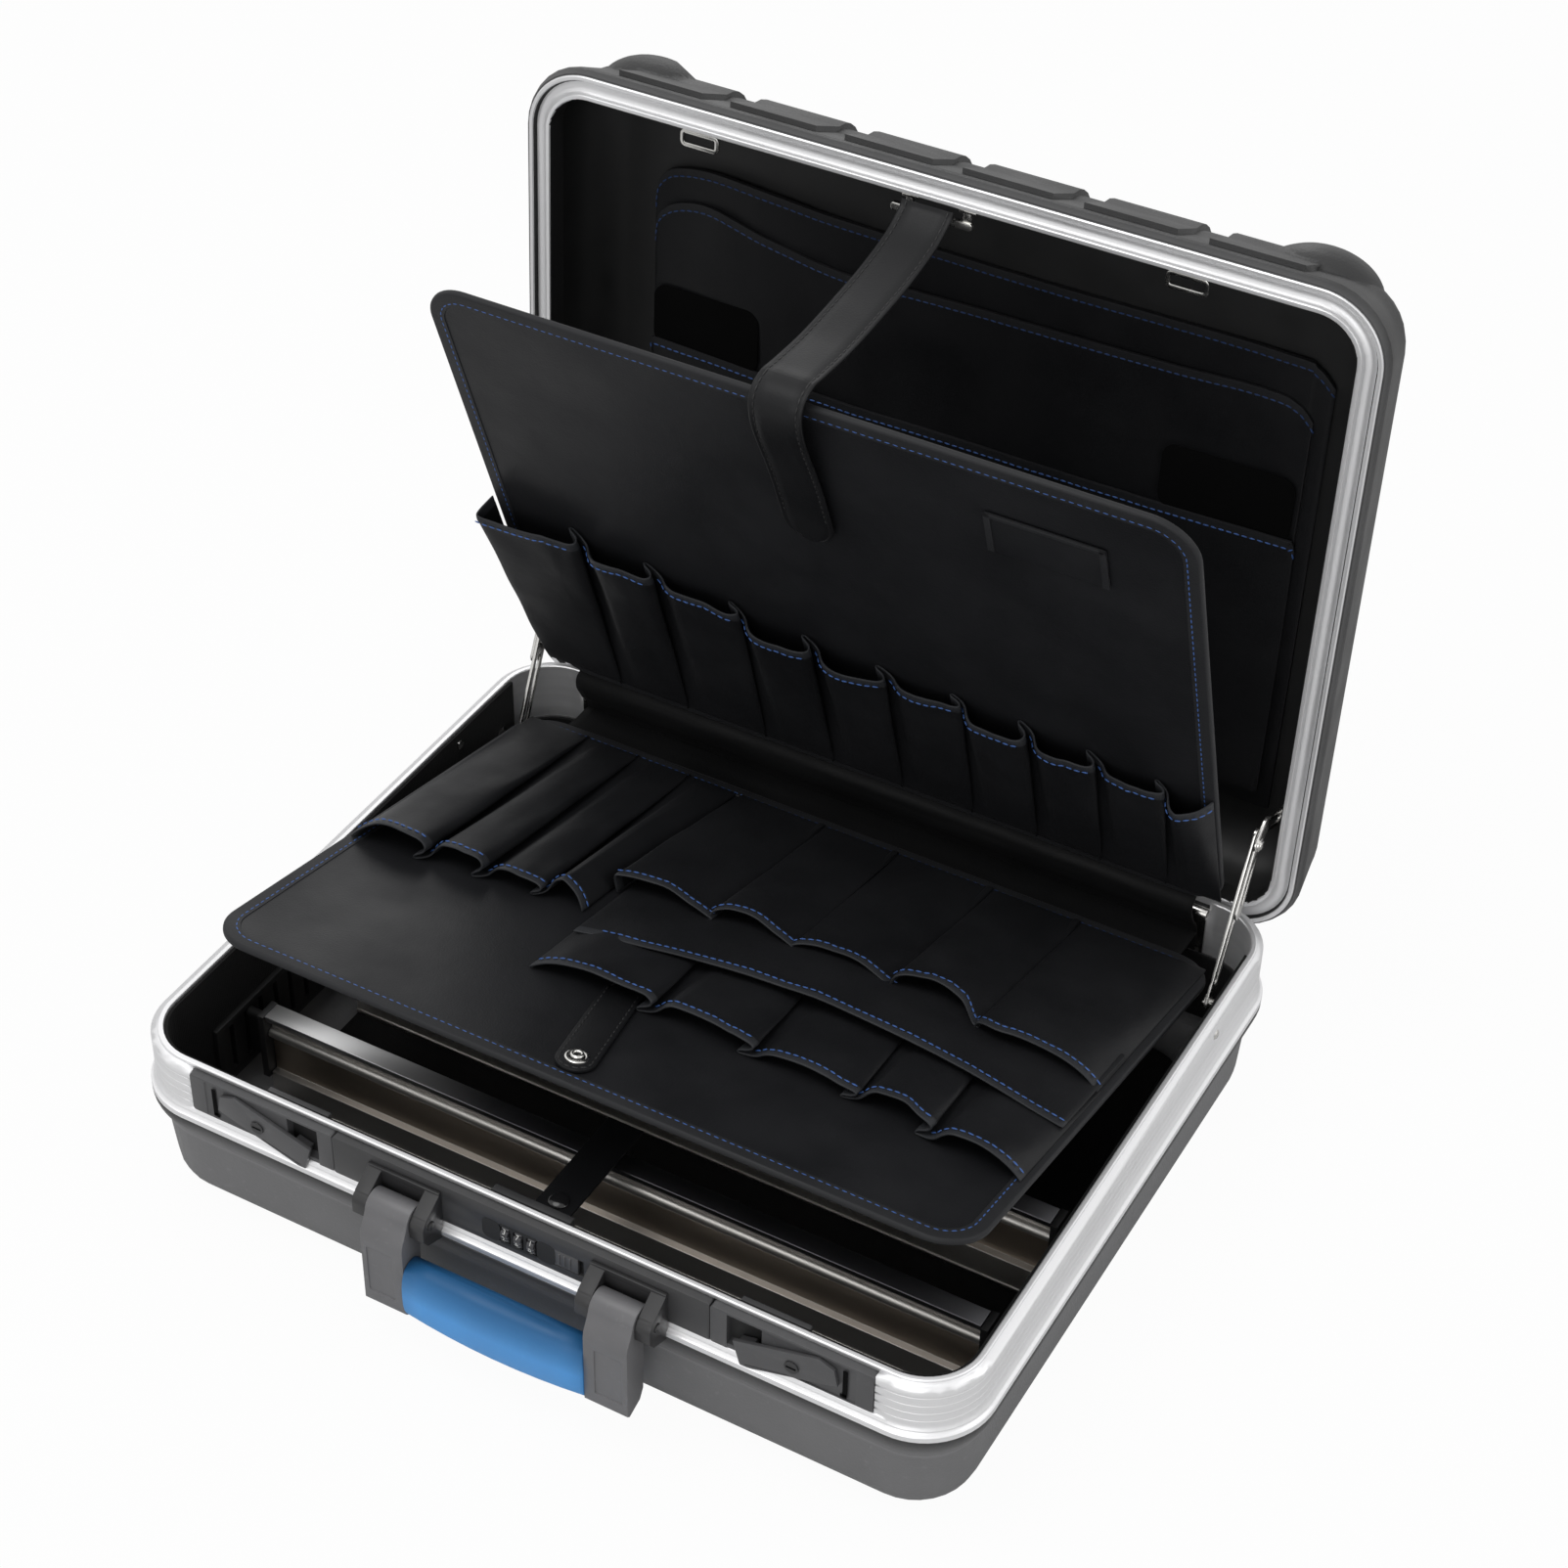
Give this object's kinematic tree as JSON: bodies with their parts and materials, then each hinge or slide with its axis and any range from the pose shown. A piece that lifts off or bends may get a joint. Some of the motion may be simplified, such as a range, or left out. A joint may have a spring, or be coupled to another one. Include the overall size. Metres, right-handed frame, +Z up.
{
  "type": "hard tool case",
  "caption": "Open hard-shell tool case with aluminium frame, hinged lid, pocket tool boards, lid stays, lever latches, number lock, folding carry handle and cross dividers.",
  "frame": {"origin": "middle of the base's flat underside, on the floor", "axes": "+Z up, +X to the right seen from the handle side, +Y towards the hinge"},
  "size_m": [0.4696, 0.4818, 0.4601],
  "materials": {
    "shell_black": "fine pebbled moulding texture",
    "frame_aluminium": "satin anodised, drawn lengthwise",
    "lining_black": "black woven lining",
    "strip_black": "moulded, matte",
    "rivet_steel": "satin",
    "hinge_steel": "zinc plated",
    "leatherette": "smooth, stitched edges",
    "latch_black": "smooth satin",
    "lever_black": "smooth satin",
    "pivot_dark": "black",
    "dial_dark": "white numbers",
    "pin_steel": "satin",
    "bracket_black": "smooth satin",
    "grip_blue": "soft-touch moulded",
    "divider_aluminium": "drawn profile, satin",
    "snap_dark": "black gloss",
    "snap_chrome": "polished ring",
    "stay_steel": "nickel plated",
    "striker_steel": "nickel plated",
    "board_leatherette": "fine grained over stiff board, bound edge",
    "pocket_leatherette": "fine grained, blue stitching"
  },
  "bodies": {
    "base": {"base_shell": "shell_black", "base_frame": "frame_aluminium", "wall_liner": "lining_black", "floor_liner": "lining_black", "slot_strips": "strip_black", "frame_rivets": "rivet_steel", "hinge_base_leaves": "hinge_steel", "hinge_pins": "hinge_steel", "spine_strip": "leatherette", "latch_plate_left": "latch_black", "latch_plate_right": "latch_black", "latch_pivots": "pivot_dark", "latch_covers": "latch_black", "lock_plate": "latch_black", "lock_cover": "latch_black", "dial_axle": "pin_steel", "handle_bracket_left": "bracket_black", "handle_bracket_right": "bracket_black", "handle_pins": "pin_steel", "divider_front": "divider_aluminium", "divider_rear": "divider_aluminium", "divider_ends_front": "strip_black", "divider_ends_rear": "strip_black", "base_strap": "leatherette", "base_snap": "snap_dark", "stay_base_brackets": "stay_steel"},
    "lid": {"lid_shell": "shell_black", "lid_frame": "frame_aluminium", "hinge_lid_leaves": "hinge_steel", "lid_strikers": "striker_steel", "lid_hooks": "striker_steel", "lid_panel": "pocket_leatherette", "lid_pocket_back": "pocket_leatherette", "lid_pocket_front": "pocket_leatherette", "lid_strap": "leatherette", "stay_lid_brackets": "stay_steel"},
    "lower_board": {"board_lower": "board_leatherette", "lower_pockets_left": "pocket_leatherette", "lower_pockets_right": "pocket_leatherette", "lower_pockets_front": "pocket_leatherette", "lower_strap": "leatherette", "lower_snap": "snap_chrome"},
    "upper_board": {"board_upper": "board_leatherette", "upper_pockets": "pocket_leatherette", "upper_card_holder": "pocket_leatherette", "upper_strap_end": "leatherette"},
    "stay_base_left": {"stay_base_link_left": "stay_steel"},
    "stay_base_right": {"stay_base_link_right": "stay_steel"},
    "stay_lid_left": {"stay_lid_link_left": "stay_steel"},
    "stay_lid_right": {"stay_lid_link_right": "stay_steel"},
    "handle": {"handle_frame": "bracket_black", "handle_grip": "grip_blue"},
    "lever_left": {"latch_lever_left": "lever_black"},
    "lever_right": {"latch_lever_right": "lever_black"},
    "dial_1": {"dial_1": "dial_dark"},
    "dial_2": {"dial_2": "dial_dark"},
    "dial_3": {"dial_3": "dial_dark"},
    "slider": {"lock_slider": "lever_black"}
  },
  "joints": [
    {"name": "lid_hinge", "type": "hinge", "parent": "base", "child": "lid", "pos_m": [0, 0.1795, 0.0917], "axis": [1, 0, 0], "range_deg": [0, 92.5], "deforming": ["lid_strap"]},
    {"name": "lower_board_fold", "type": "hinge", "parent": "base", "child": "lower_board", "pos_m": [0, 0.155, 0.08], "axis": [1, 0, 0], "range_deg": [0, 12.32]},
    {"name": "upper_board_fold", "type": "hinge", "parent": "base", "child": "upper_board", "pos_m": [0, 0.168, 0.11], "axis": [1, 0, 0], "range_deg": [0, 70.52]},
    {"name": "stay_base_left_pivot", "type": "hinge", "parent": "base", "child": "stay_base_left", "pos_m": [-0.21155, 0.141, 0.07], "axis": [1, 0, 0], "range_deg": [0, 60.97]},
    {"name": "stay_base_right_pivot", "type": "hinge", "parent": "base", "child": "stay_base_right", "pos_m": [0.21155, 0.141, 0.07], "axis": [1, 0, 0], "range_deg": [0, 60.97]},
    {"name": "stay_lid_left_pivot", "type": "hinge", "parent": "lid", "child": "stay_lid_left", "pos_m": [-0.21345, 0.218, 0.143], "axis": [1, 0, 0], "range_deg": [-103.42, 0]},
    {"name": "stay_lid_right_pivot", "type": "hinge", "parent": "lid", "child": "stay_lid_right", "pos_m": [0.21345, 0.218, 0.143], "axis": [1, 0, 0], "range_deg": [-103.42, 0]},
    {"name": "handle_swing", "type": "hinge", "parent": "base", "child": "handle", "pos_m": [0, -0.197, 0.0785], "axis": [-1, 0, 0], "range_deg": [0, 100]},
    {"name": "latch_left_turn", "type": "hinge", "parent": "base", "child": "lever_left", "pos_m": [-0.149, -0.187, 0.0821], "axis": [0, -1, 0], "range_deg": [0, 15]},
    {"name": "latch_right_turn", "type": "hinge", "parent": "base", "child": "lever_right", "pos_m": [0.149, -0.187, 0.0821], "axis": [0, 1, 0], "range_deg": [0, 15]},
    {"name": "dial_1_spin", "type": "hinge", "parent": "base", "child": "dial_1", "pos_m": [-0.0063, -0.1825, 0.0825], "axis": [1, 0, 0], "continuous": true},
    {"name": "dial_2_spin", "type": "hinge", "parent": "base", "child": "dial_2", "pos_m": [0.001, -0.1825, 0.0825], "axis": [1, 0, 0], "continuous": true},
    {"name": "dial_3_spin", "type": "hinge", "parent": "base", "child": "dial_3", "pos_m": [0.0083, -0.1825, 0.0825], "axis": [1, 0, 0], "continuous": true},
    {"name": "slider_travel", "type": "slide", "parent": "base", "child": "slider", "axis": [1, 0, 0], "range_m": [0, 0.003]}
  ],
  "couplings": [
    {"joint": "lower_board_fold", "follows": "lid_hinge", "ratio": 0.13297},
    {"joint": "upper_board_fold", "follows": "lid_hinge", "ratio": 0.76216},
    {"joint": "stay_base_left_pivot", "follows": "lid_hinge", "ratio": 0.65805},
    {"joint": "stay_base_right_pivot", "follows": "lid_hinge", "ratio": 0.65805},
    {"joint": "stay_lid_left_pivot", "follows": "lid_hinge", "ratio": -1.117},
    {"joint": "stay_lid_right_pivot", "follows": "lid_hinge", "ratio": -1.117}
  ]
}
